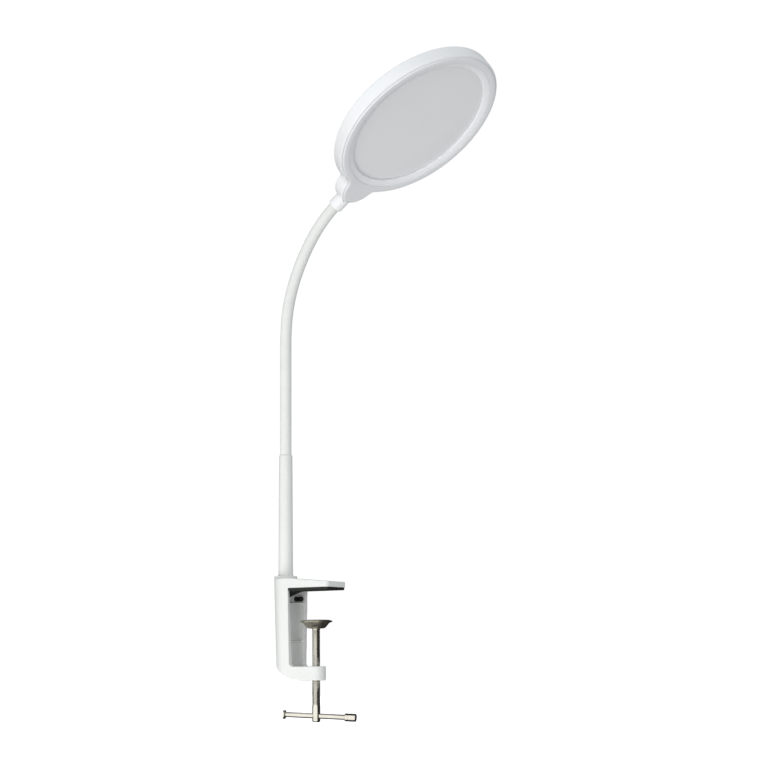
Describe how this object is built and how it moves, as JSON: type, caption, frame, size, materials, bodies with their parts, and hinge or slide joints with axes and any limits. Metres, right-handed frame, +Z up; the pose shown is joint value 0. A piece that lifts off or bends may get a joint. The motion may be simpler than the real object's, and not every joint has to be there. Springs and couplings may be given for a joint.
{
  "type": "magnifying lamp",
  "caption": "Desk-clamp magnifying lamp: screw clamp, upright pole, flexible arm and a round lens head with a sloped light ring and a hinged lens cover.",
  "frame": {"origin": "on the clamp screw's axis, in the face of the jaw pad that rests on the desk top", "axes": "+Z up along the pole; +X from the pole towards the jaw tip and the head; the XZ plane is the plane of the arm's bend"},
  "size_m": [0.2469, 0.182, 0.6477],
  "materials": {
    "casting": "satin off-white powder coat",
    "pole": "satin off-white paint",
    "pad_rubber": "matt black",
    "gasket_silicone": "milky translucent silicone",
    "zinc_hardware": "zinc plated",
    "arm_core": "plain steel",
    "arm_sleeve": "soft satin off-white",
    "nylon": "natural nylon",
    "plate_steel": "dull nickel",
    "nickel": "warm bright nickel",
    "head_white": "fine satin",
    "bezel_white": "fine satin",
    "diffuser": "translucent opal",
    "led_board_white": "white solder mask",
    "led_yellow": "phosphor",
    "lens_glass": "polished",
    "board_green": "solder mask",
    "component_black": "moulded",
    "lead_red": "insulated lead",
    "button_grey": "fine satin",
    "cover_white": "satin"
  },
  "bodies": {
    "root": {"clamp_body": "casting", "jaw_pad": "pad_rubber", "cable_grommet": "pad_rubber", "pole_tube": "pole", "pole_stud": "zinc_hardware", "pole_washer": "zinc_hardware", "pole_nut": "zinc_hardware", "arm_base": "arm_core", "sleeve_base": "arm_sleeve"},
    "swivel_seat": {"swivel_ring": "nylon"},
    "plate": {"pressure_plate": "plate_steel"},
    "screw": {"clamp_screw": "nickel"},
    "bar": {"tommy_bar": "nickel", "tommy_bar_cap": "nickel"},
    "link_1": {"arm_link_1": "arm_core", "sleeve_1": "arm_sleeve"},
    "link_2": {"arm_link_2": "arm_core", "sleeve_2": "arm_sleeve"},
    "link_3": {"arm_link_3": "arm_core", "sleeve_3": "arm_sleeve"},
    "link_4": {"arm_link_4": "arm_core", "sleeve_4": "arm_sleeve"},
    "link_5": {"arm_link_5": "arm_core", "sleeve_5": "arm_sleeve"},
    "link_6": {"arm_link_6": "arm_core", "sleeve_6": "arm_sleeve"},
    "link_7": {"arm_link_7": "arm_core", "sleeve_7": "arm_sleeve"},
    "link_8": {"arm_link_8": "arm_core", "sleeve_8": "arm_sleeve"},
    "link_9": {"arm_link_9": "arm_core", "sleeve_9": "arm_sleeve"},
    "link_10": {"arm_link_10": "arm_core", "sleeve_10": "arm_sleeve"},
    "link_11": {"arm_link_11": "arm_core", "sleeve_11": "arm_sleeve"},
    "head": {"arm_end": "arm_core", "sleeve_end": "arm_sleeve", "neck_ferrule": "head_white", "ferrule_nut": "zinc_hardware", "rear_shell": "head_white", "front_bezel": "bezel_white", "light_diffuser": "diffuser", "led_board": "led_board_white", "led_chips": "led_yellow", "lens": "lens_glass", "lens_gasket": "gasket_silicone", "lens_ring": "head_white", "driver_board": "board_green", "driver_parts": "component_black", "switch_body": "component_black", "head_leads": "lead_red", "housing_screws": "zinc_hardware", "cover_hinge_pin": "zinc_hardware"},
    "button": {"power_button": "button_grey"},
    "cover": {"lens_cover": "cover_white"}
  },
  "joints": [
    {"name": "screw_turn", "type": "hinge", "parent": "swivel_seat", "child": "screw", "pos_m": [0, 0, -0.034], "axis": [0, 0, 1], "range_deg": [-10090, 7500]},
    {"name": "screw_travel", "type": "slide", "parent": "root", "child": "swivel_seat", "axis": [0, 0, 1], "range_m": [-0.035, 0.026]},
    {"name": "plate_tilt", "type": "hinge", "parent": "swivel_seat", "child": "plate", "pos_m": [0, 0, -0.034], "axis": [0, 1, 0], "range_deg": [-6, 6]},
    {"name": "bar_slide", "type": "slide", "parent": "screw", "child": "bar", "axis": [0.9386, 0.3416, -0.0488], "range_m": [-0.0244, 0.0262]},
    {"name": "arm_bend_1", "type": "hinge", "parent": "root", "child": "link_1", "pos_m": [-0.0365, 0, 0.146], "axis": [0, 1, 0], "range_deg": [-18, 18]},
    {"name": "arm_sway_2", "type": "hinge", "parent": "link_1", "child": "link_2", "pos_m": [-0.0365, 0, 0.1688], "axis": [1, 0, 0], "range_deg": [-15, 15]},
    {"name": "arm_bend_3", "type": "hinge", "parent": "link_2", "child": "link_3", "pos_m": [-0.0365, 0, 0.1916], "axis": [0, 1, 0], "range_deg": [-18, 18]},
    {"name": "arm_sway_4", "type": "hinge", "parent": "link_3", "child": "link_4", "pos_m": [-0.0365, 0, 0.2144], "axis": [1, 0, 0], "range_deg": [-15, 15]},
    {"name": "arm_bend_5", "type": "hinge", "parent": "link_4", "child": "link_5", "pos_m": [-0.0365, 0, 0.2372], "axis": [0, 1, 0], "range_deg": [-18, 18]},
    {"name": "arm_sway_6", "type": "hinge", "parent": "link_5", "child": "link_6", "pos_m": [-0.0365, 0, 0.26], "axis": [0.9992, 0, -0.0393], "range_deg": [-15, 15]},
    {"name": "arm_bend_7", "type": "hinge", "parent": "link_6", "child": "link_7", "pos_m": [-0.03471, 0, 0.28273], "axis": [0, 1, 0], "range_deg": [-18, 12]},
    {"name": "arm_sway_8", "type": "hinge", "parent": "link_7", "child": "link_8", "pos_m": [-0.02958, 0, 0.30495], "axis": [0.9563, 0, -0.2924], "range_deg": [-15, 15]},
    {"name": "arm_bend_9", "type": "hinge", "parent": "link_8", "child": "link_9", "pos_m": [-0.02141, 0, 0.32623], "axis": [0, 1, 0], "range_deg": [-18, 12]},
    {"name": "arm_sway_10", "type": "hinge", "parent": "link_9", "child": "link_10", "pos_m": [-0.01088, 0, 0.34646], "axis": [0.8594, 0, -0.5113], "range_deg": [-15, 15]},
    {"name": "arm_bend_11", "type": "hinge", "parent": "link_10", "child": "link_11", "pos_m": [0.00187, 0, 0.36536], "axis": [0, 1, 0], "range_deg": [-18, 12]},
    {"name": "arm_sway_12", "type": "hinge", "parent": "link_11", "child": "head", "pos_m": [0.01747, 0, 0.38198], "axis": [0.6646, 0, -0.7472], "range_deg": [-15, 15]},
    {"name": "cover_hinge", "type": "hinge", "parent": "head", "child": "cover", "pos_m": [0.04782, 0, 0.4178], "axis": [0, -1, 0], "range_deg": [0, 115]},
    {"name": "button_press", "type": "slide", "parent": "head", "child": "button", "axis": [0.5948, 0, -0.8039], "range_m": [0, 0.001], "stiffness_N_per_m": 300}
  ],
  "couplings": [
    {"joint": "screw_turn", "follows": "screw_travel", "rad_per_m": 5026.5}
  ]
}
